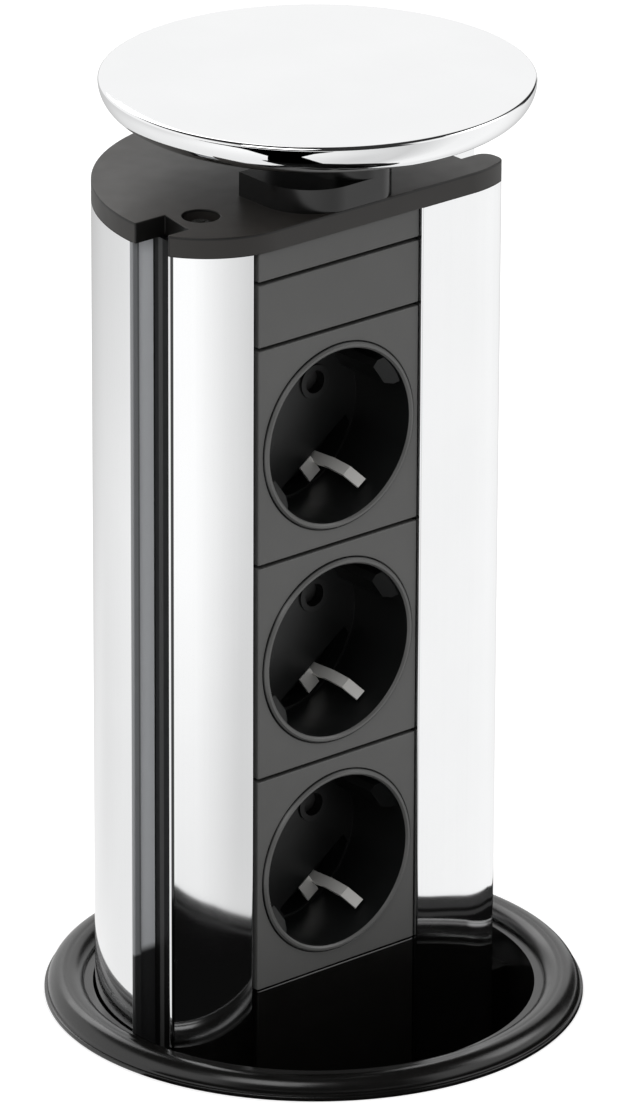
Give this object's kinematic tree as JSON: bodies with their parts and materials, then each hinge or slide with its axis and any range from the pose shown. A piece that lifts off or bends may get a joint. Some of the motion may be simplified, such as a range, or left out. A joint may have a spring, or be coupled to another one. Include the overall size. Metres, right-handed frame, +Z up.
{
  "type": "pull-up worktop socket tower",
  "caption": "Round pull-up power tower for a worktop, raised: polished column with recessed mains sockets in a dark strip, a domed lid on a neck and a black flange ring.",
  "frame": {"origin": "on the tower's axis in the plane of the flange's seat, the worktop's upper face", "axes": "+Z up along the tower's travel, sockets face -Y, +X to the viewer's right"},
  "size_m": [0.132, 0.132, 0.3372],
  "materials": {
    "chrome": "polished",
    "polished_profile": "polished and brightened",
    "plate_plastic": "satin",
    "strip_plastic": "satin",
    "well_plastic": "satin",
    "black_plastic": "satin",
    "shutter_plastic": "satin",
    "steel": "bright plated",
    "brass": "bright",
    "seal_rubber": "matt",
    "felt": "napped"
  },
  "bodies": {
    "housing": {"flange_ring": "black_plastic", "flange_seal": "seal_rubber", "guide_sleeve": "black_plastic", "guide_key_left": "black_plastic", "guide_key_right": "black_plastic", "guide_key_screws": "steel", "glide_pads": "felt", "clamp_washer": "black_plastic", "clamp_nut": "black_plastic"},
    "tower": {"lid_cap": "chrome", "tower_profile": "polished_profile", "top_plate": "plate_plastic", "top_filler": "strip_plastic", "blank_cover": "strip_plastic", "socket_frame_1": "strip_plastic", "socket_frame_2": "strip_plastic", "socket_frame_3": "strip_plastic", "socket_insert_1": "well_plastic", "socket_insert_2": "well_plastic", "socket_insert_3": "well_plastic", "neck": "black_plastic", "lid_core": "black_plastic", "bottom_cap": "black_plastic", "cable_gland": "black_plastic", "gland_locknut": "black_plastic", "gland_nut": "black_plastic", "socket_base_1": "black_plastic", "socket_base_2": "black_plastic", "socket_base_3": "black_plastic", "lower_cover": "black_plastic", "terminal_block": "shutter_plastic", "top_plate_screws": "steel", "neck_screws": "steel", "bottom_cap_screws": "steel", "terminal_screws": "steel", "shutter_spring_1": "steel", "shutter_spring_2": "steel", "shutter_spring_3": "steel", "earth_contact_1": "steel", "earth_contact_2": "steel", "earth_contact_3": "steel", "pin_contacts_1": "brass", "pin_contacts_2": "brass", "pin_contacts_3": "brass", "live_busbar": "brass", "neutral_busbar": "brass", "earth_busbar": "brass"},
    "shutter_1": {"shutter_1": "shutter_plastic"},
    "shutter_2": {"shutter_2": "shutter_plastic"},
    "shutter_3": {"shutter_3": "shutter_plastic"}
  },
  "joints": [
    {"name": "tower_lift", "type": "slide", "parent": "housing", "child": "tower", "axis": [0, 0, 1], "range_m": [-0.212, 0]},
    {"name": "shutter_1_turn", "type": "hinge", "parent": "tower", "child": "shutter_1", "pos_m": [-0.0098, 0.0018, 0.14], "axis": [0, 1, 0], "range_deg": [0, 40], "stiffness_Nm_per_rad": 0.004},
    {"name": "shutter_2_turn", "type": "hinge", "parent": "tower", "child": "shutter_2", "pos_m": [-0.0098, 0.0018, 0.09], "axis": [0, 1, 0], "range_deg": [0, 40], "stiffness_Nm_per_rad": 0.004},
    {"name": "shutter_3_turn", "type": "hinge", "parent": "tower", "child": "shutter_3", "pos_m": [-0.0098, 0.0018, 0.04], "axis": [0, 1, 0], "range_deg": [0, 40], "stiffness_Nm_per_rad": 0.004}
  ]
}
